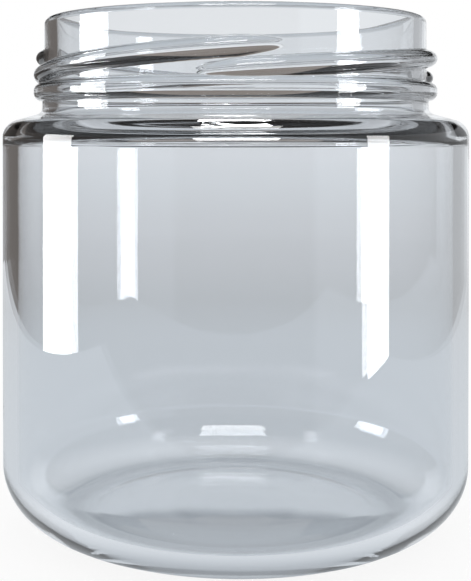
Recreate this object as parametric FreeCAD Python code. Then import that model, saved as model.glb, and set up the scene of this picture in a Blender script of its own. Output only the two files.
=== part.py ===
import FreeCAD
import Part

import math
import os

# A small wide-mouth jar for pimientos or other preserves: one piece of clear glass, open at the top, with a
# four-lug finish for a twist-off cap. All sizes are in mm.
# Frame: the origin is the middle of the base, on the table. +Z is up, -Y is the front, +X is to the right.

# ---- Body ----
HEIGHT = 66.1               # table to the top of the rim
BODY_DIAMETER = 61.0
BODY_WALL = 1.95            # glass in the straight side
SHOULDER_SLOPE = 15.5       # degrees that the shoulder falls from the neck to the side
SHOULDER_ROUND = 2.3        # outer radius between the shoulder and the side
SHOULDER_GLASS = 2.1        # glass in the shoulder, square to its slope
SHOULDER_INSIDE = 2.4       # radius between the shoulder and the side, inside

# ---- Heel and base ----
HEEL_WIDTH = 9.8            # outside, the heel is a quarter of an ellipse, this wide
HEEL_RISE = 8.5             # and this high
HEEL_INSIDE_WIDTH = 8.5     # inside, it is a tighter quarter of an ellipse
HEEL_INSIDE_RISE = 7.5
FLOOR_GLASS = 2.0           # glass in the base, at its middle and at its edge
PUSH_UP = 0.7               # height of the hollow under the base
BEARING_WIDTH = 2.2         # flat ring that stands on the table
BEARING_ROUND = 6.0         # radius where that ring turns up into the hollow
HOLLOW_EASE = 0.9           # how fully the hollow levels out: 1 is from its middle to its edge

# ---- Neck and rim ----
FINISH_DIAMETER = 53.0      # over the lugs, to suit a 53 mm cap
LUG_DEPTH = 1.4             # how far the lugs and the bead stand out of the neck
NECK_WALL = 1.65
FINISH_HEIGHT = 12.35       # rim to the root of the shoulder
NECK_STEP = 0.3             # how much further out the neck is below the bead
NECK_ROUND = 0.9            # hollow radius at the root of the shoulder
NECK_INSIDE = 2.6           # radius where the bore opens into the body
RIM_ROUND = 0.8             # radius on both edges of the rim

# ---- Transfer bead, the ring by which the glass works carries the jar ----
BEAD_DROP = 9.6             # rim to the middle of the bead
BEAD_HEIGHT = 2.4           # at the neck
BEAD_CREST = 1.9            # at the crest, before it is rounded
BEAD_ROUND = 0.95           # outer radius of the crest's two edges
BEAD_ROOT = 0.2             # hollow radius at the bead's two roots

# ---- Lugs, each a short thread that runs out at both ends ----
LUG_COUNT = 4
LUG_SPAN = 111.0            # degrees round the neck, so that neighbours overlap
LUG_RISE = 3.2              # climb from the low end to the upper end
LUG_DROP = 4.6              # rim to the middle of the upper end
LUG_HEIGHT = 2.2            # height of the full section at its root
LUG_TAPER = 0.12            # share of the lug over which each end runs out
LUG_TIP = 0.35              # share of the section's height that is left at a tip
LUG_TURN = 10.4             # degrees from the front to the upper end of the first lug
LUG_SEAT = 0.5              # how far a lug's root reaches into the neck's glass
LUG_END_STEPS = 4           # steps of the loft over each run-out
LUG_MIDDLE_STEPS = 8        # and between them

# ---- Sizes that follow ----
BODY_RADIUS = BODY_DIAMETER / 2
INNER_RADIUS = BODY_RADIUS - BODY_WALL
NECK_RADIUS = FINISH_DIAMETER / 2 - LUG_DEPTH
BORE_RADIUS = NECK_RADIUS - NECK_WALL
LOWER_NECK_RADIUS = NECK_RADIUS + NECK_STEP
CREST_RADIUS = FINISH_DIAMETER / 2
BEARING_OUTER = BODY_RADIUS - HEEL_WIDTH
BEARING_INNER = BEARING_OUTER - BEARING_WIDTH
SHOULDER_ROOT = HEIGHT - FINISH_HEIGHT
BEAD_MIDDLE = HEIGHT - BEAD_DROP
SLOPE = math.tan(math.radians(SHOULDER_SLOPE))
HOLLOW_TURN = BEARING_INNER / 2
HOLLOW_REACH = HOLLOW_TURN * HOLLOW_EASE


def point(radius, height):
    """A point of the section that is turned about Z."""
    return FreeCAD.Vector(radius, 0, height)


def fillet(before, at, after, radius):
    """Round a corner with an arc of this radius."""
    towards = (before - at).normalize()
    away = (after - at).normalize()
    half = towards.getAngle(away) / 2
    reach = radius / math.tan(half)
    inward = (towards + away).normalize() * (radius / math.sin(half) - radius)
    return Part.Arc(at + towards * reach, at + inward, at + away * reach)


def conic(before, at, after, reach_in, reach_out):
    """Round a corner with a quarter of an ellipse, which starts and ends this far from the corner."""
    towards = (before - at).normalize()
    away = (after - at).normalize()
    curve = Part.BezierCurve()
    curve.setPoles([at + towards * reach_in, at, at + away * reach_out])
    curve.setWeight(2, math.sin(towards.getAngle(away) / 2))
    return curve


def outline(corners):
    """Join corners into one closed face: each is a point and its radius, its two reaches, or nothing if sharp."""
    curves = []
    for index, (at, *rounding) in enumerate(corners):
        before = corners[index - 1][0]
        after = corners[(index + 1) % len(corners)][0]
        if len(rounding) == 2:
            curves.append(conic(before, at, after, *rounding))
        elif len(rounding) == 1:
            curves.append(fillet(before, at, after, *rounding))
        else:
            curves.append(at)
    edges = []
    for index, curve in enumerate(curves):
        following = curves[(index + 1) % len(curves)]
        start = curve if isinstance(curve, FreeCAD.Vector) else curve.EndPoint
        end = following if isinstance(following, FreeCAD.Vector) else following.StartPoint
        if not isinstance(curve, FreeCAD.Vector):
            edges.append(curve.toShape())
        if start.distanceToPoint(end) > 1e-6:
            edges.append(Part.LineSegment(start, end).toShape())
    return Part.Face(Part.Wire(edges))


def outer_corners():
    """The outside, from the middle of the base to the rim."""
    bead_low = BEAD_MIDDLE - BEAD_HEIGHT / 2
    bead_high = BEAD_MIDDLE + BEAD_HEIGHT / 2
    edge_height = SHOULDER_ROOT - (BODY_RADIUS - LOWER_NECK_RADIUS) * SLOPE
    return [
        (point(0, PUSH_UP),),
        (point(HOLLOW_TURN, PUSH_UP), HOLLOW_REACH, HOLLOW_REACH),
        (point(BEARING_INNER, 0), BEARING_ROUND),
        (point(BODY_RADIUS, 0), HEEL_WIDTH, HEEL_RISE),
        (point(BODY_RADIUS, edge_height), SHOULDER_ROUND),
        (point(LOWER_NECK_RADIUS, SHOULDER_ROOT), NECK_ROUND),
        (point(LOWER_NECK_RADIUS, bead_low), BEAD_ROOT),
        (point(CREST_RADIUS, BEAD_MIDDLE - BEAD_CREST / 2), BEAD_ROUND),
        (point(CREST_RADIUS, BEAD_MIDDLE + BEAD_CREST / 2), BEAD_ROUND),
        (point(NECK_RADIUS, bead_high), BEAD_ROOT),
        (point(NECK_RADIUS, HEIGHT), RIM_ROUND),
    ]


def inner_corners():
    """The inside, from the rim down to the middle of the floor."""
    drop = SHOULDER_GLASS / math.cos(math.radians(SHOULDER_SLOPE))
    root = SHOULDER_ROOT - drop
    return [
        (point(BORE_RADIUS, HEIGHT), RIM_ROUND),
        (point(BORE_RADIUS, root + (LOWER_NECK_RADIUS - BORE_RADIUS) * SLOPE), NECK_INSIDE),
        (point(INNER_RADIUS, root - (INNER_RADIUS - LOWER_NECK_RADIUS) * SLOPE), SHOULDER_INSIDE),
        (point(INNER_RADIUS, FLOOR_GLASS), HEEL_INSIDE_RISE, HEEL_INSIDE_WIDTH),
        (point(BEARING_INNER, FLOOR_GLASS), BEARING_ROUND),
        (point(HOLLOW_TURN, FLOOR_GLASS + PUSH_UP), HOLLOW_REACH, HOLLOW_REACH),
        (point(0, FLOOR_GLASS + PUSH_UP),),
    ]


def jar_body():
    """The jar without its lugs: the section turned about Z."""
    section = outline(outer_corners() + inner_corners())
    return section.revolve(FreeCAD.Vector(0, 0, 0), FreeCAD.Vector(0, 0, 1), 360)


def lug_section(share):
    """A lug's section this share of the way along it: a low arch with its root in the neck's glass."""
    run_out = min(share, 1 - share, LUG_TAPER) / LUG_TAPER
    fullness = math.sin(run_out * math.pi / 2)
    half = LUG_HEIGHT / 2 * (LUG_TIP + (1 - LUG_TIP) * fullness)
    root = NECK_RADIUS - LUG_SEAT
    crest = root + (LUG_SEAT + LUG_DEPTH) * fullness + LUG_SEAT / 2 * (1 - fullness)
    arch = Part.Arc(point(root, -half), point(crest, 0), point(root, half))
    back = Part.LineSegment(point(root, half), point(root, -half))
    wire = Part.Wire([arch.toShape(), back.toShape()])
    wire.rotate(FreeCAD.Vector(0, 0, 0), FreeCAD.Vector(0, 0, 1), (share - 1) * LUG_SPAN)
    wire.translate(FreeCAD.Vector(0, 0, HEIGHT - LUG_DROP - (1 - share) * LUG_RISE))
    return wire


def lug(number):
    """One lug, lofted through its sections and turned to its place on the neck."""
    start = [LUG_TAPER * step / LUG_END_STEPS for step in range(LUG_END_STEPS)]
    full = 1 - 2 * LUG_TAPER
    middle = [LUG_TAPER + full * step / LUG_MIDDLE_STEPS for step in range(LUG_MIDDLE_STEPS + 1)]
    end = [1 - share for share in reversed(start)]
    solid = Part.makeLoft([lug_section(share) for share in start + middle + end], True)
    turn = LUG_TURN - 90 + number * 360 / LUG_COUNT
    solid.rotate(FreeCAD.Vector(0, 0, 0), FreeCAD.Vector(0, 0, 1), turn)
    return solid


def jar():
    """The whole jar: its body and its lugs fused into one solid."""
    return jar_body().multiFuse([lug(number) for number in range(LUG_COUNT)]).Solids[0]


os.makedirs("parts", exist_ok=True)
jar().exportStep("parts/jar.step")
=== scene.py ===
"""An empty wide-mouth preserving jar of clear glass, standing in a small studio.

The jar is one closed skin of glass: an outer and an inner outline, turned about the jar's axis, with the lugs
of the twist-off finish raised out of the neck. The studio has a white floor and room, a tent of toned cards
that only the glass shows, a soft lamp and a camera.
"""

import logging
import math
from dataclasses import dataclass, field
from enum import Enum

import bpy
import numpy as np
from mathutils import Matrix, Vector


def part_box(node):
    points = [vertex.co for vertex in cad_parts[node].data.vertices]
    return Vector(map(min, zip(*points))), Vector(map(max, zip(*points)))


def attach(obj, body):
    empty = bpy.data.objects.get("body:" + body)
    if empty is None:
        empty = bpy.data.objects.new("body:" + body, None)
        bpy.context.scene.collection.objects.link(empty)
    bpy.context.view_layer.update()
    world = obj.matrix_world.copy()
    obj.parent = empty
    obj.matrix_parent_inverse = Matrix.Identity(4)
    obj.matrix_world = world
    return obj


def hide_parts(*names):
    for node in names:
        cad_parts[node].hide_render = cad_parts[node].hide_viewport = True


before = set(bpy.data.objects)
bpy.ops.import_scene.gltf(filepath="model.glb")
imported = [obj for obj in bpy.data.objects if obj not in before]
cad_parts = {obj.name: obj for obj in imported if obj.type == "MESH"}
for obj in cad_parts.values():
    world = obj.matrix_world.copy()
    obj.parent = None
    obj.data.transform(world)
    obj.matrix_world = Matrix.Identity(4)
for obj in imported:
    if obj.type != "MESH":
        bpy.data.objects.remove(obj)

LOG = logging.getLogger("glass_jar")
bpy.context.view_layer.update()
MM = 0.001


# ---- Small helpers ---------------------------------------------------------------------------------


def linear(hex_colour: str) -> tuple[float, float, float, float]:
    """Turn an sRGB hex colour into linear red, green, blue and alpha.

    Args:
        hex_colour: Six hex digits, with or without a leading hash.

    Returns:
        The linear colour with an alpha of 1.
    """
    digits = hex_colour.lstrip("#")
    channels = [int(digits[start:start + 2], 16) / 255 for start in (0, 2, 4)]
    lit = [c / 12.92 if c <= 0.04045 else ((c + 0.055) / 1.055) ** 2.4 for c in channels]
    return (lit[0], lit[1], lit[2], 1.0)


def add_node(tree: bpy.types.NodeTree, kind: str, inputs: dict | None = None, **settings) -> bpy.types.Node:
    """Add one node, set its properties and fill or link its inputs.

    Args:
        tree: The node tree.
        kind: The node's type name.
        inputs: Input name or number to a value, or to the output socket that feeds it.
        settings: Properties of the node itself.

    Returns:
        The new node.
    """
    node = tree.nodes.new(kind)
    for name, value in settings.items():
        setattr(node, name, value)
    for name, value in (inputs or {}).items():
        if isinstance(value, bpy.types.NodeSocket):
            tree.links.new(value, node.inputs[name])
        else:
            node.inputs[name].default_value = value
    return node


def fresh_material(name: str) -> tuple[bpy.types.Material, bpy.types.NodeTree]:
    """Make a material without nodes.

    Args:
        name: The material's name.

    Returns:
        The material and its empty node tree.
    """
    material = bpy.data.materials.new(name)
    material.use_nodes = True
    material.node_tree.nodes.clear()
    return material, material.node_tree


def mesh_object(name: str, vertices: np.ndarray, faces: list | np.ndarray, smooth: bool) -> bpy.types.Object:
    """Put points and faces into a new object at the origin.

    Args:
        name: The object's and the mesh's name.
        vertices: An array of points, three numbers each, in metres.
        faces: Tuples of point numbers.
        smooth: Whether the faces are shaded smooth.

    Returns:
        The object, linked into the scene.
    """
    mesh = bpy.data.meshes.new(name)
    mesh.from_pydata(vertices.tolist(), [], faces)
    mesh.polygons.foreach_set("use_smooth", np.full(len(mesh.polygons), smooth))
    mesh.update()
    made = bpy.data.objects.new(name, mesh)
    bpy.context.scene.collection.objects.link(made)
    return made


# ---- Finishes --------------------------------------------------------------------------------------


@dataclass(frozen=True)
class ClearGlass:
    """Soda-lime container glass, moulded and fire-polished: glossy, all but colourless, with a faint ripple.

    Attributes:
        colour: What a wall leaves of white light, a touch of blue-grey.
        ior: Index of refraction of soda-lime glass.
        roughness: A fire-polished surface is as good as mirror smooth.
        ripple_mm: Distance from one soft wave of the surface to the next.
        ripple_depth_mm: Height of those waves.
    """

    colour: str = "#F6F8FA"
    ior: float = 1.52
    roughness: float = 0.0
    ripple_mm: float = 9.0
    ripple_depth_mm: float = 0.012

    def material(self) -> bpy.types.Material:
        """Make the glass, with its ripple as a faint bump on the object's own coordinates.

        Returns:
            The material.
        """
        glass, tree = fresh_material("moulded_clear_glass")
        place = add_node(tree, "ShaderNodeTexCoord")
        wave = add_node(tree, "ShaderNodeTexNoise", {
            "Vector": place.outputs["Object"],
            "Scale": 1 / (self.ripple_mm * MM),
            "Detail": 1.0,
            "Roughness": 0.4,
        })
        bump = add_node(tree, "ShaderNodeBump", {
            "Strength": 1.0,
            "Distance": self.ripple_depth_mm * MM,
            "Height": wave.outputs["Fac"],
        })
        shader = add_node(tree, "ShaderNodeBsdfPrincipled", {
            "Base Color": linear(self.colour),
            "Roughness": self.roughness,
            "IOR": self.ior,
            "Transmission Weight": 1.0,
            "Normal": bump.outputs["Normal"],
        })
        add_node(tree, "ShaderNodeOutputMaterial", {"Surface": shader.outputs["BSDF"]})
        return glass


@dataclass(frozen=True)
class WhiteCard:
    """Matt white card, which reads as plain white to a ray that looks at it.

    Attributes:
        name: The material's name.
        colour: The card's colour.
        lift: Share of plain white in what is seen. The rest is the card as lit, which keeps the shadow.
    """

    name: str
    colour: str = "#FBFBFB"
    lift: float = 0.9

    def material(self) -> bpy.types.Material:
        """Make the card: matt to soft light, and lifted towards white for the rays that look at it.

        Returns:
            The material.
        """
        card, tree = fresh_material(self.name)
        matt = add_node(tree, "ShaderNodeBsdfDiffuse", {"Color": linear(self.colour)})
        white = add_node(tree, "ShaderNodeEmission", {"Color": linear("#FFFFFF"), "Strength": 1.0})
        looked_at = add_node(tree, "ShaderNodeMath", {0: seen(tree), 1: self.lift}, operation="MULTIPLY")
        mixed = add_node(tree, "ShaderNodeMixShader", {
            "Fac": looked_at.outputs["Value"],
            1: matt.outputs["BSDF"],
            2: white.outputs["Emission"],
        })
        add_node(tree, "ShaderNodeOutputMaterial", {"Surface": mixed.outputs["Shader"]})
        return card


def seen(tree: bpy.types.NodeTree) -> bpy.types.NodeSocket:
    """Give 1 for a ray that looks at a surface: straight on, in a gloss, or through glass.

    Args:
        tree: The node tree that asks.

    Returns:
        The socket with that value.
    """
    path = add_node(tree, "ShaderNodeLightPath")
    looks = add_node(tree, "ShaderNodeMath", {
        0: path.outputs["Is Camera Ray"],
        1: path.outputs["Is Glossy Ray"],
    }, operation="MAXIMUM")
    either = add_node(tree, "ShaderNodeMath", {
        0: looks.outputs["Value"],
        1: path.outputs["Is Transmission Ray"],
    }, operation="MAXIMUM")
    return either.outputs["Value"]


class Along(Enum):
    """What a toned card's tone follows."""

    HEIGHT = "height above the table"
    DISTANCE = "distance from the jar's axis"


class Shown(Enum):
    """Where the glass shows a toned card."""

    ALWAYS = "straight through and mirrored"
    THROUGH = "straight through only"
    MIRRORED = "mirrored only"
    ONCE = "mirrored once only"


@dataclass(frozen=True)
class TonedCard:
    """Evenly glowing card with a soft run of tones, which clear glass shows as its own grey.

    Attributes:
        name: The material's name.
        along: Whether the tone follows the height or the distance from the axis.
        stops: Pairs of a place in mm and a colour, from low to high.
        shown: Where the glass shows it.
        brightness: Its brightness, where plain white card is 1.
    """

    name: str
    along: Along
    stops: tuple[tuple[float, str], ...]
    shown: Shown = Shown.ALWAYS
    brightness: float = 1.0

    def tone(self, tree: bpy.types.NodeTree) -> bpy.types.NodeSocket:
        """Lay the stops along the height or the distance.

        Args:
            tree: The material's node tree.

        Returns:
            The socket with the tone.
        """
        place = add_node(tree, "ShaderNodeTexCoord")
        apart = add_node(tree, "ShaderNodeSeparateXYZ", {"Vector": place.outputs["Object"]})
        if self.along is Along.HEIGHT:
            run = apart.outputs["Z"]
        else:
            flat = add_node(tree, "ShaderNodeCombineXYZ", {"X": apart.outputs["X"], "Y": apart.outputs["Y"]})
            length = add_node(tree, "ShaderNodeVectorMath", {0: flat.outputs["Vector"]}, operation="LENGTH")
            run = length.outputs["Value"]
        (low, first), (high, last) = self.stops[0], self.stops[-1]
        share = add_node(tree, "ShaderNodeMapRange", {
            "Value": run,
            "From Min": low * MM,
            "From Max": high * MM,
        })
        ramp = add_node(tree, "ShaderNodeValToRGB", {"Fac": share.outputs["Result"]})
        stops = ramp.color_ramp.elements
        stops[0].position, stops[0].color = 0.0, linear(first)
        stops[1].position, stops[1].color = 1.0, linear(last)
        for at, colour in self.stops[1:-1]:
            stops.new((at - low) / (high - low)).color = linear(colour)
        return ramp.outputs["Color"]

    def showing(self, tree: bpy.types.NodeTree) -> bpy.types.NodeSocket:
        """Give 1 for a ray that the glass has mirrored as often as the card asks.

        Args:
            tree: The material's node tree.

        Returns:
            The socket with that value.
        """
        times = add_node(tree, "ShaderNodeLightPath").outputs["Glossy Depth"]
        if self.shown is Shown.MIRRORED:
            test = add_node(tree, "ShaderNodeMath", {0: times, 1: 0.5}, operation="GREATER_THAN")
        else:
            wanted = 1.0 if self.shown is Shown.ONCE else 0.0
            test = add_node(tree, "ShaderNodeMath", {0: times, 1: wanted, 2: 0.1}, operation="COMPARE")
        return test.outputs["Value"]

    def material(self) -> bpy.types.Material:
        """Make the card's even glow.

        Returns:
            The material.
        """
        card, tree = fresh_material(self.name)
        surface = add_node(tree, "ShaderNodeEmission", {
            "Color": self.tone(tree),
            "Strength": self.brightness,
        }).outputs["Emission"]
        if self.shown is not Shown.ALWAYS:
            surface = add_node(tree, "ShaderNodeMixShader", {
                "Fac": self.showing(tree),
                1: add_node(tree, "ShaderNodeBsdfTransparent").outputs["BSDF"],
                2: surface,
            }).outputs["Shader"]
        add_node(tree, "ShaderNodeOutputMaterial", {"Surface": surface})
        return card


# ---- Outlines --------------------------------------------------------------------------------------


@dataclass(frozen=True)
class Corner:
    """A corner of an outline, in mm, with how far its rounding reaches back and on from it.

    Attributes:
        radius: Distance from the jar's axis.
        height: Height above the table.
        fillet: Radius of a round corner.
        reach: Two reaches of an elliptical corner, which replace the fillet.
    """

    radius: float
    height: float
    fillet: float = 0.0
    reach: tuple[float, float] | None = None

    @property
    def at(self) -> np.ndarray:
        """The corner's place."""
        return np.array([self.radius, self.height])


def rounded(before: Corner, corner: Corner, after: Corner, turn_step: float) -> np.ndarray:
    """Points along one rounded corner.

    The curve is a conic: each point is the mean of its start, the corner and its end, with the weights
    (1-t)(1-t), 2wt(1-t) and tt, where w is the sine of half the angle between the sides. With equal reaches
    it is a circle's arc.

    Args:
        before: The corner before.
        corner: The corner to round.
        after: The corner after.
        turn_step: The largest turn between neighbouring points, in degrees.

    Returns:
        An array of points, or the corner alone where it is sharp.
    """
    back = before.at - corner.at
    on = after.at - corner.at
    back = back / np.linalg.norm(back)
    on = on / np.linalg.norm(on)
    angle = math.acos(float(np.clip(back @ on, -1, 1)))
    reach = corner.reach
    if reach is None:
        distance = corner.fillet / math.tan(angle / 2)
        reach = (distance, distance)
    if reach[0] <= 0:
        return corner.at[None, :]
    steps = max(3, math.ceil(math.degrees(math.pi - angle) / turn_step))
    t = np.linspace(0, 1, steps + 1)[:, None]
    start = corner.at + back * reach[0]
    end = corner.at + on * reach[1]
    weight = math.sin(angle / 2)
    parts = ((1 - t) ** 2, 2 * weight * t * (1 - t), t ** 2)
    return (parts[0] * start + parts[1] * corner.at + parts[2] * end) / sum(parts)


def outline(corners: list[Corner], turn_step: float, spacing: float, same: float = 1e-4) -> np.ndarray:
    """Join rounded corners into one line and divide its straight runs.

    Args:
        corners: The corners, the first and last of which stay sharp.
        turn_step: The largest turn between neighbouring points, in degrees.
        spacing: The longest distance between neighbouring points, in mm.
        same: Points nearer than this become one, in mm.

    Returns:
        An array of radius and height, in mm.
    """
    inner = [rounded(*corners[index - 1:index + 2], turn_step) for index in range(1, len(corners) - 1)]
    points = np.vstack([corners[0].at, *inner, corners[-1].at])
    gaps = np.linalg.norm(np.diff(points, axis=0), axis=1)
    points = points[np.concatenate([[True], gaps > same])]
    gaps = np.linalg.norm(np.diff(points, axis=0), axis=1)
    counts = np.maximum(1, np.ceil(gaps / spacing)).astype(int)
    runs = np.repeat(np.arange(len(counts)), counts)
    within = (np.arange(len(runs)) - np.repeat(np.cumsum(counts) - counts, counts)) / counts[runs]
    divided = points[runs] + (points[runs + 1] - points[runs]) * within[:, None]
    return np.vstack([divided, points[-1]])


# ---- The jar ---------------------------------------------------------------------------------------


@dataclass
class Lugs:
    """The four lugs of the twist-off finish, short right-hand threads that run out at both ends. Sizes in mm.

    Attributes:
        count: How many lugs there are.
        span: Degrees round the neck that one lug takes.
        rise: Climb from its low end to its upper end.
        drop: From the rim down to the middle of the upper end.
        height: Height of the full section.
        depth: How far the crest stands out of the neck.
        power: Shape of the section. At 1 it is a parabola, and below 1 its crest is fuller.
        taper: Share of the lug over which each end runs out.
        tip: Share of the section's height that is left at a tip.
        turn: Degrees from the front to the upper end of the first lug, to the right.
    """

    count: int = 4
    span: float = 111.0
    rise: float = 3.2
    drop: float = 4.75
    height: float = 2.35
    depth: float = 1.4
    power: float = 0.6
    taper: float = 0.12
    tip: float = 0.35
    turn: float = 10.4

    def relief(self, angle: np.ndarray, height: np.ndarray, rim: float) -> np.ndarray:
        """How far the lugs raise the neck's surface.

        Along a lug, share s runs from 0 to 1 and its middle climbs in a straight line. Across it, q runs from
        -1 to 1 over the section's height, and the relief is depth times fullness times (1 - qq) to the power.
        Both the fullness and the height follow a quarter sine over the tapered ends.

        Args:
            angle: Degrees to the right of the front, for each grid point.
            height: Height above the table for each grid point.
            rim: Height of the rim.

        Returns:
            The relief in mm for each grid point.
        """
        total = np.zeros(np.broadcast(angle, height).shape)
        for number in range(self.count):
            end = self.turn + number * 360 / self.count
            share = np.mod(angle - end + self.span, 360) / self.span
            on = share <= 1
            run_out = np.clip(np.minimum(share, 1 - share) / self.taper, 0, 1)
            fullness = np.sin(run_out * np.pi / 2)
            middle = rim - self.drop - (1 - share) * self.rise
            half = self.height / 2 * (self.tip + (1 - self.tip) * fullness)
            across = np.clip((height - middle) / half, -1, 1)
            total = np.maximum(total, on * self.depth * fullness * (1 - across ** 2) ** self.power)
        return total


@dataclass
class GlassJar:
    """The jar: one skin of glass, from the middle of its base round the rim to the middle of its floor.

    Height and body diameter come from the CAD box. The other sizes are in mm.

    Attributes:
        node: The CAD node that it replaces.
        body_wall: Glass in the straight side.
        shoulder_slope: Degrees that the shoulder falls from the neck to the side.
        shoulder_round: Outer radius between the shoulder and the side.
        shoulder_glass: Glass in the shoulder, square to its slope.
        shoulder_inside: Inner radius between the shoulder and the side.
        heel_width: Width of the outer heel, a quarter of an ellipse.
        heel_rise: Its height.
        heel_inside_rise: Height of the inner heel, also a quarter of an ellipse.
        heel_inside_width: Its width.
        floor_glass: Glass in the base.
        push_up: Height of the hollow under the base.
        hollow_ease: How fully that hollow levels out, where 1 is from its middle to its edge.
        bearing_width: Flat ring that stands on the table.
        bearing_round: Radius where that ring turns up into the hollow.
        finish_radius: Radius over the lugs and the bead.
        neck_wall: Glass in the neck.
        finish_height: From the rim to the root of the shoulder.
        lower_neck: How much further out the neck is below the bead.
        neck_round: Hollow radius at the root of the shoulder.
        neck_inside: Radius where the bore opens into the body.
        rim_round: Radius on both edges of the rim.
        bead_drop: From the rim to the middle of the bead.
        bead_height: Height of the bead at the neck.
        bead_crest: Height of its crest before it is rounded.
        bead_round: Outer radius of the crest's two edges.
        bead_root: Hollow radius at the bead's two roots.
        segments: Faces round the jar.
        lug_step: Height of one face over the lugs.
        turn_step: Largest turn of the outline from one point to the next, in degrees.
        spacing: Longest distance from one point of the outline to the next.
        lugs: The lugs.
        glass: The glass.
    """

    node: str = "jar"
    body_wall: float = 1.95
    shoulder_slope: float = 15.5
    shoulder_round: float = 2.3
    shoulder_glass: float = 1.9
    shoulder_inside: float = 1.9
    heel_width: float = 9.8
    heel_rise: float = 8.5
    heel_inside_rise: float = 6.5
    heel_inside_width: float = 8.5
    floor_glass: float = 2.0
    push_up: float = 0.7
    hollow_ease: float = 0.9
    bearing_width: float = 2.2
    bearing_round: float = 6.0
    finish_radius: float = 26.5
    neck_wall: float = 1.65
    finish_height: float = 12.35
    lower_neck: float = 0.3
    neck_round: float = 0.9
    neck_inside: float = 2.6
    rim_round: float = 0.8
    bead_drop: float = 9.6
    bead_height: float = 2.4
    bead_crest: float = 1.9
    bead_round: float = 0.95
    bead_root: float = 0.2
    segments: int = 320
    lug_step: float = 0.1
    turn_step: float = 6.0
    spacing: float = 2.4
    lugs: Lugs = field(default_factory=Lugs)
    glass: ClearGlass = field(default_factory=ClearGlass)

    def __post_init__(self) -> None:
        """Take the overall sizes from the CAD node's box and work out the places that follow."""
        low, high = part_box(self.node)
        self.height = (high[2] - low[2]) / MM
        self.body_radius = (high[0] - low[0]) / 2 / MM
        self.neck_radius = self.finish_radius - self.lugs.depth
        self.bore_radius = self.neck_radius - self.neck_wall
        self.inner_radius = self.body_radius - self.body_wall
        self.slope = math.tan(math.radians(self.shoulder_slope))
        self.root = self.height - self.finish_height
        self.under_bead = self.neck_radius + self.lower_neck
        self.bearing_inner = self.body_radius - self.heel_width - self.bearing_width
        self.hollow_turn = self.bearing_inner / 2
        self.hollow_reach = (self.hollow_turn * self.hollow_ease,) * 2

    def outer_corners(self) -> list[Corner]:
        """List the corners of the outside.

        Returns:
            The corners, from the middle of the base to the rim.
        """
        bead = self.height - self.bead_drop
        edge = self.root - (self.body_radius - self.under_bead) * self.slope
        return [
            Corner(0, self.push_up),
            Corner(self.hollow_turn, self.push_up, reach=self.hollow_reach),
            Corner(self.bearing_inner, 0, self.bearing_round),
            Corner(self.body_radius, 0, reach=(self.heel_width, self.heel_rise)),
            Corner(self.body_radius, edge, self.shoulder_round),
            Corner(self.under_bead, self.root, self.neck_round),
            Corner(self.under_bead, bead - self.bead_height / 2, self.bead_root),
            Corner(self.finish_radius, bead - self.bead_crest / 2, self.bead_round),
            Corner(self.finish_radius, bead + self.bead_crest / 2, self.bead_round),
            Corner(self.neck_radius, bead + self.bead_height / 2, self.bead_root),
            Corner(self.neck_radius, self.height, self.rim_round),
        ]

    def inner_corners(self) -> list[Corner]:
        """List the corners of the inside.

        Returns:
            The corners, from the rim down to the middle of the floor.
        """
        root = self.root - self.shoulder_glass / math.cos(math.radians(self.shoulder_slope))
        neck = root + (self.under_bead - self.bore_radius) * self.slope
        edge = root - (self.inner_radius - self.under_bead) * self.slope
        top = self.floor_glass + self.push_up
        heel = (self.heel_inside_rise, self.heel_inside_width)
        return [
            Corner(self.bore_radius, self.height, self.rim_round),
            Corner(self.bore_radius, neck, self.neck_inside),
            Corner(self.inner_radius, edge, self.shoulder_inside),
            Corner(self.inner_radius, self.floor_glass, reach=heel),
            Corner(self.bearing_inner, self.floor_glass, self.bearing_round),
            Corner(self.hollow_turn, top, reach=self.hollow_reach),
            Corner(0, top),
        ]

    def section(self) -> np.ndarray:
        """Make the whole outline, finer over the lugs.

        Returns:
            An array of radius and height, in mm.
        """
        line = outline(self.outer_corners() + self.inner_corners(), self.turn_step, self.spacing)
        outside = line[:int(np.argmax(line[:, 1]))]
        low = self.height - self.lugs.drop - self.lugs.rise - self.lugs.height / 2
        high = self.height - self.lugs.drop + self.lugs.height / 2
        rows = np.arange(low, high, self.lug_step)
        upright = outside[:, 1] > self.root
        fine = np.column_stack([np.interp(rows, outside[upright, 1], outside[upright, 0]), rows])
        first = int(np.argmax(upright & (outside[:, 1] > low)))
        last = int(np.argmax(upright & (outside[:, 1] > high)))
        return np.vstack([line[:first], fine, line[last:]])

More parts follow.
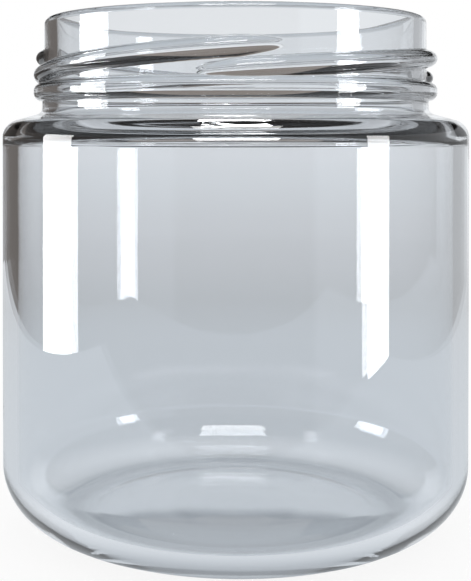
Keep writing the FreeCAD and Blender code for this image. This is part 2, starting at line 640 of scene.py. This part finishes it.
    def skin(self) -> bpy.types.Object:
        """Turn the outline about the axis, raise the lugs and close both poles.

        A grid point is (r sin a, -r cos a, z): r and z follow the outline, a is its angle to the right of the
        front. On the outside of the finish, r is the larger of the outline's radius and the neck's with the
        lug's relief.

        Returns:
            The jar's object, still without its glass.
        """
        line = self.section()
        body = line[1:-1]
        angle = np.arange(self.segments) * 360 / self.segments
        rows = len(body)
        height = np.broadcast_to(body[:, 1][:, None], (rows, self.segments))
        relief = self.lugs.relief(angle[None, :], body[:, 1][:, None], self.height)
        finish = (np.arange(rows) < np.argmax(body[:, 1])) & (body[:, 1] > self.root)
        raised = np.where((relief > 0) & finish[:, None], self.neck_radius + relief, 0)
        radius = np.maximum(body[:, 0][:, None], raised)
        turn = np.radians(angle)[None, :]
        grid = np.stack([radius * np.sin(turn), -radius * np.cos(turn), height], axis=-1).reshape(-1, 3)
        poles = np.array([[0, 0, line[0, 1]], [0, 0, line[-1, 1]]])
        vertices = np.vstack([grid, poles]) * MM
        low = np.arange(rows - 1)[:, None] * self.segments
        here = np.arange(self.segments)[None, :]
        after = (here + 1) % self.segments
        quads = np.stack([low + here, low + after, low + self.segments + after, low + self.segments + here],
                         axis=-1).reshape(-1, 4)
        under = np.column_stack([np.full(self.segments, len(grid)), after[0], here[0]])
        last = (rows - 1) * self.segments
        floor = np.column_stack([np.full(self.segments, len(grid) + 1), last + here[0], last + after[0]])
        faces = quads.tolist() + under.tolist() + floor.tolist()
        return mesh_object("glass_jar", vertices, faces, smooth=True)

    def build(self) -> bpy.types.Object:
        """Make the jar's skin, dress it in glass and tie it to the frame.

        Returns:
            The jar's object.
        """
        piece = self.skin()
        piece.data.materials.append(self.glass.material())
        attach(piece, "root")
        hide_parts(self.node)
        LOG.info("glass jar: %d faces, %.1f mm high, %.1f mm across", len(piece.data.polygons), self.height,
                 self.body_radius * 2)
        return piece


# ---- The studio ------------------------------------------------------------------------------------


@dataclass
class Card:
    """One card that stands, lies or bends round the jar and that only the glass shows. Sizes in mm.

    Attributes:
        name: The card's name.
        finish: Its tones.
        edges: Its two long edges, each an array of points.
    """

    name: str
    finish: TonedCard
    edges: np.ndarray

    @classmethod
    def turned(cls, name: str, finish: TonedCard, start: tuple[float, float], end: tuple[float, float],
               turns: tuple[float, float] = (0.0, 360.0), points: int = 97) -> "Card":
        """Carry a line round the jar's axis: a point is (r sin a, -r cos a, z) at the turn a.

        Args:
            name: The card's name.
            finish: Its tones.
            start: Radius and height of the line's first end.
            end: Radius and height of its other end.
            turns: First and last turn, in degrees to the right of the front.
            points: Points along each edge.

        Returns:
            The bent or round card.
        """
        angle = np.radians(np.linspace(*turns, points))
        ring = np.column_stack([np.sin(angle), -np.cos(angle), np.zeros(points)])
        edges = [ring * radius + [0, 0, height] for radius, height in (start, end)]
        return cls(name, finish, np.array(edges))

    @classmethod
    def upright(cls, name: str, finish: TonedCard, near: tuple[float, float], far: tuple[float, float],
                bottom: float, top: float) -> "Card":
        """Stand a flat card on a line from one place to another.

        Args:
            name: The card's name.
            finish: Its tones.
            near: Where its first edge stands, to the right and to the back of the jar's axis.
            far: Where its other edge stands.
            bottom: Height of its lower edge.
            top: Height of its upper edge.

        Returns:
            The flat card.
        """
        line = np.array([near, far])
        edges = [np.column_stack([line, [height, height]]) for height in (bottom, top)]
        return cls(name, finish, np.array(edges))

    def build(self) -> bpy.types.Object:
        """Make the card as one row of faces between its edges.

        Returns:
            The card's object.
        """
        count = self.edges.shape[1]
        here = np.arange(count - 1)
        faces = np.column_stack([here, here + 1, here + 1 + count, here + count])
        card = mesh_object(self.name, self.edges.reshape(-1, 3) * MM, faces.tolist(), smooth=False)
        card.data.materials.append(self.finish.material())
        card.visible_camera = False
        card.visible_diffuse = False
        card.visible_shadow = False
        return card


@dataclass
class Table:
    """The white floor, and over it the toned cards that the glass shows in its place. Sizes in mm.

    Straight through the glass the table has no end. Mirrored in the glass it has the edges of a table that
    stands in a darker room, with one corner cut. All of it lies just under the jar.

    Attributes:
        floor_half: Half the side of the white floor.
        floor_level: Height of the white floor.
        wide_half: Half the side of the endless table.
        wide_level: Height of the endless table.
        sides: Left, right, front and back edge of the table with edges.
        cut: What is cut off its front right corner, across and along.
        level: Height of the table with edges.
        tones: Tones by their distance from the jar's axis, which paint the jar's shadow and light on the
            table: dim
        below the base, a painted shadow of the jar; dimmest just outside the ring that it stands on, a
        painted contact shadow; bright below the edge of its side, a painted band of light; and pale from
        there on.
    """

    floor_half: float = 900.0
    floor_level: float = -0.03
    wide_half: float = 420.0
    wide_level: float = -0.02
    sides: tuple[float, float, float, float] = (-158.0, 152.0, -86.0, 290.0)
    cut: tuple[float, float] = (47.0, 24.0)
    level: float = -0.01
    # Painted shadow of the jar: dim below the base and darkest just outside the ring that it stands on, then
    # a painted band of light below the edge of its side.
    tones: tuple[tuple[float, str], ...] = (
        (0.0, "#B8BEC4"), (17.0, "#BCC2C8"), (19.5, "#B0B6BC"), (21.0, "#A0A6AC"), (23.0, "#A0A6AC"),
        (24.0, "#BAC0C6"), (26.0, "#D6DBE0"), (30.0, "#E6EAEE"), (40.0, "#D2D7DC"), (150.0, "#D1D5D9"),
        (200.0, "#CED1D4"), (300.0, "#D6D8DB"), (420.0, "#DCDEE1"),
    )

    def floor(self) -> bpy.types.Object:
        """Lay the white floor, which the glass doesn't show.

        Returns:
            The floor's object.
        """
        signs = np.array([[-1, -1], [1, -1], [1, 1], [-1, 1]])
        places = np.column_stack([signs * self.floor_half, np.full(len(signs), self.floor_level)])
        floor = mesh_object("studio_floor", places * MM, [(0, 1, 2, 3)], smooth=False)
        floor.data.materials.append(WhiteCard("white_table_card").material())
        floor.visible_glossy = False
        floor.visible_transmission = False
        return floor

    def build(self) -> None:
        """Lay the floor and both tables."""
        self.floor()
        left, right, front, back = self.sides
        across, along = self.cut
        near = np.array([[left, front], [right - across, front], [right, front + along]])
        far = np.column_stack([near[:, 0], np.full(len(near), back)])
        edges = np.array([np.column_stack([edge, np.full(len(edge), self.level)]) for edge in (near, far)])
        # Both table cards carry the painted shadow and light of the jar in their tones.
        Card("tent_table", TonedCard("table_painted_shadow_tones", Along.DISTANCE, self.tones), edges).build()
        half, level = self.wide_half, self.wide_level
        wide = np.array([[[-half, side, level], [half, side, level]] for side in (-half, half)])
        finish = TonedCard("wide_table_painted_shadow_tones", Along.DISTANCE, self.tones, Shown.THROUGH)
        Card("tent_table_wide", finish, wide).build()
        LOG.info("table: white floor and two toned cards")


@dataclass
class Tent:
    """What the glass shows round the table. Sizes in mm, turns in degrees to the right of the front.

    Straight through the glass that is a pale wall below a dark ceiling, the same on every side but for a
    lighter patch below the ceiling at the back. Mirrored in the glass it is also the dimmer room in front, at
    the left and at the right, and mirrored once the two tall strip lamps.

    Attributes:
        radius: Radius of the wall.
        inner_radius: Radius of the dimmer walls, which stand just inside it.
        low: Height of the foot of the walls, below the table.
        high: Height of the ceiling.
        lit: Height up to which the walls are lit.
        dark: Height from which they are as dark as the ceiling.
        dim: Tone of the dim room.
        dimmer: Its tone below the table.
        dark_edge: Tone of the dark part of the walls, at its foot.
        ceiling: Tone of the ceiling at the walls.
        ceiling_middle: Tone of the ceiling above the jar.
        strip_brightness: Brightness of the strip lamps, where plain white card is 1.
    """

    radius: float = 420.0
    inner_radius: float = 415.0
    low: float = -200.0
    high: float = 480.0
    lit: float = 150.0
    dark: float = 165.0
    dim: str = "#6D6865"
    dimmer: str = "#4A4744"
    dark_edge: str = "#2A2827"
    ceiling: str = "#1E1D1C"
    ceiling_middle: str = "#141414"
    strip_brightness: float = 12.0

    def wall(self, name: str, shown: Shown, *lit: tuple[float, str]) -> TonedCard:
        """Give a wall's finish: the tones of its lit part, and above them the dark that all walls share."""
        shade = ((self.dark, self.dark_edge), (self.high, self.ceiling))
        return TonedCard(name, Along.HEIGHT, (*lit, *shade), shown)

    def walls(self) -> list[Card]:
        """Put up the pale wall all round, and inside it the dimmer walls.

        Returns:
            The walls as cards.
        """
        pale = self.wall(
            "wall_tones", Shown.ALWAYS, (self.low, "#8C8E90"), (-12.0, "#D9DBDE"), (8.0, "#E0E2E5"),
            (27.0, "#E9ECEF"), (42.0, "#EFF1F4"), (95.0, "#F0F2F4"), (self.lit, "#F6F8FA"),
        )
        right = self.wall("right_wall_tones", Shown.MIRRORED, (self.low, self.dim), (-12.0, "#B4B6B8"),
                          (self.lit, "#BCBEC1"))
        front = self.wall("front_wall_tones", Shown.MIRRORED, (self.low, self.dimmer), (0.0, self.dim),
                          (self.lit, self.dim))
        left = self.wall("dark_flag_tones", Shown.MIRRORED, (self.low, self.dim), (self.lit, self.dim))
        foot, top = (self.inner_radius, self.low), (self.inner_radius, self.high)
        return [
            Card.turned("tent_wall", pale, (self.radius, self.low), (self.radius, self.high)),
            Card.turned("tent_right", right, foot, top, (35.0, 148.0)),
            Card.turned("tent_front", front, foot, top, (-98.0, 35.0)),
            Card.turned("tent_left", left, foot, top, (-160.0, -98.0)),
        ]

    def ends(self) -> list[Card]:
        """Close the tent above and below, and hang the lighter patch below the ceiling at the back.

        Returns:
            The ceiling, what lies under the table, and the patch, as cards.
        """
        ceiling = TonedCard("ceiling_tones", Along.DISTANCE,
                            ((0.0, self.ceiling_middle), (self.radius, self.ceiling)))
        under = TonedCard("under_table_tones", Along.DISTANCE, ((0.0, self.dim), (self.radius, self.dimmer)))
        patch = TonedCard("back_flag_tones", Along.HEIGHT, ((155.0, "#8F8781"), (self.high, "#7D756F")))
        return [
            Card.turned("tent_ceiling", ceiling, (self.radius, self.high), (0.0, self.high)),
            Card.turned("tent_under", under, (self.radius, self.low), (0.0, self.low)),
            Card.upright("tent_back_flag", patch, (-60.0, 370.0), (66.0, 370.0), 155.0, 470.0),
        ]

    def strips(self) -> list[Card]:
        """Stand up the two tall strip lamps, at the left and at the front right.

        Returns:
            The lamps as cards.
        """
        light = TonedCard("strip_lamp_light", Along.HEIGHT, ((self.low, "#FFFFFF"), (self.high, "#FFFFFF")),
                          Shown.ONCE, self.strip_brightness)
        return [
            Card.upright("strip_left", light, (-372.0, -60.0), (-371.0, 71.0), -70.0, 135.0),
            Card.upright("strip_right", light, (335.0, -194.0), (364.0, -120.0), -110.0, 135.0),
        ]

    def build(self) -> None:
        """Put up all of the tent."""
        cards = self.walls() + self.ends() + self.strips()
        for card in cards:
            card.build()
        LOG.info("tent: %d cards", len(cards))


@dataclass
class FrontLamp:
    """A wide soft lamp high up in front of the jar and tilted down at it. Sizes in mm.

    Attributes:
        distance: Distance from the jar's axis, towards the front.
        height: Height of its middle.
        width: Its width.
        depth: Its other side.
        aim: Height that it is aimed at, on the jar's axis.
        brightness: Its brightness, where plain white card is 1.
    """

    distance: float = 126.0
    height: float = 300.0
    width: float = 150.0
    depth: float = 80.0
    aim: float = 33.0
    brightness: float = 10.0

    def build(self) -> bpy.types.Object:
        """Make the lamp, whose power is brightness times pi times its area, and aim it.

        Returns:
            The lamp's object.
        """
        lamp = bpy.data.lights.new("front_soft_lamp", "AREA")
        lamp.shape = "RECTANGLE"
        lamp.size = self.width * MM
        lamp.size_y = self.depth * MM
        lamp.energy = self.brightness * math.pi * lamp.size * lamp.size_y
        body = bpy.data.objects.new(lamp.name, lamp)
        body.location = (0, -self.distance * MM, self.height * MM)
        fall = math.atan2(self.height - self.aim, self.distance)
        body.rotation_euler = (math.pi / 2 - fall, 0, 0)
        body.visible_camera = False
        body.visible_diffuse = False
        bpy.context.scene.collection.objects.link(body)
        LOG.info("front lamp: %.0f mm high", self.height)
        return body


@dataclass
class StudioCamera:
    """The camera, level with the shoulder, close by and slightly to the left. Sizes in mm.

    Attributes:
        distance: Distance from the jar's axis, towards the front.
        aside: Distance to the right of the jar's axis.
        height: Height of the camera.
        dip: Degrees that it looks down.
        lens: Focal length, on a frame 36 mm wide.
        shift: How far the frame is shifted, in frame widths.
        near: Nearest distance that it sees.
    """

    distance: float = 159.8
    aside: float = -4.6
    height: float = 51.7
    dip: float = 0.75
    lens: float = 91.7
    shift: tuple[float, float] = (0.0754, -0.31)
    near: float = 10.0

    def build(self) -> bpy.types.Object:
        """Set the camera up and look through it.

        Returns:
            The camera's object.
        """
        data = bpy.data.cameras.new("camera")
        data.sensor_fit = "HORIZONTAL"
        data.sensor_width = 36.0
        data.lens = self.lens
        data.shift_x, data.shift_y = self.shift
        data.clip_start = self.near * MM
        eye = bpy.data.objects.new("camera", data)
        eye.location = (self.aside * MM, -self.distance * MM, self.height * MM)
        eye.rotation_euler = (math.radians(90 - self.dip), 0, 0)
        bpy.context.scene.collection.objects.link(eye)
        bpy.context.scene.camera = eye
        return eye


@dataclass
class Studio:
    """The whole set: table, tent, white room, lamp and camera.

    Attributes:
        bounces: How often a ray may meet a surface, and how often it may pass through one.
        glossy_bounces: How often it may be mirrored.
    """

    bounces: int = 32
    glossy_bounces: int = 16

    def room(self) -> None:
        """Fill the room with even white light, which is also what is seen of it."""
        world = bpy.data.worlds.new("white_room")
        world.use_nodes = True
        tree = world.node_tree
        tree.nodes.clear()
        light = add_node(tree, "ShaderNodeBackground", {"Color": linear("#FFFFFF"), "Strength": 1.0})
        add_node(tree, "ShaderNodeOutputWorld", {"Surface": light.outputs["Background"]})
        bpy.context.scene.world = world

    def build(self) -> None:
        """Make the set, and let light pass through the jar's many surfaces."""
        Table().build()
        Tent().build()
        self.room()
        FrontLamp().build()
        StudioCamera().build()
        scene = bpy.context.scene
        scene.view_settings.view_transform = "Standard"
        scene.cycles.max_bounces = self.bounces
        scene.cycles.transmission_bounces = self.bounces
        scene.cycles.glossy_bounces = self.glossy_bounces
        LOG.info("studio: table, tent, room, lamp and camera")


def main() -> None:
    """Build the jar and its studio, and log the sizes."""
    logging.basicConfig(level=logging.INFO, format="%(name)s: %(message)s")
    GlassJar().build()
    Studio().build()


if __name__ == "__main__":
    main()
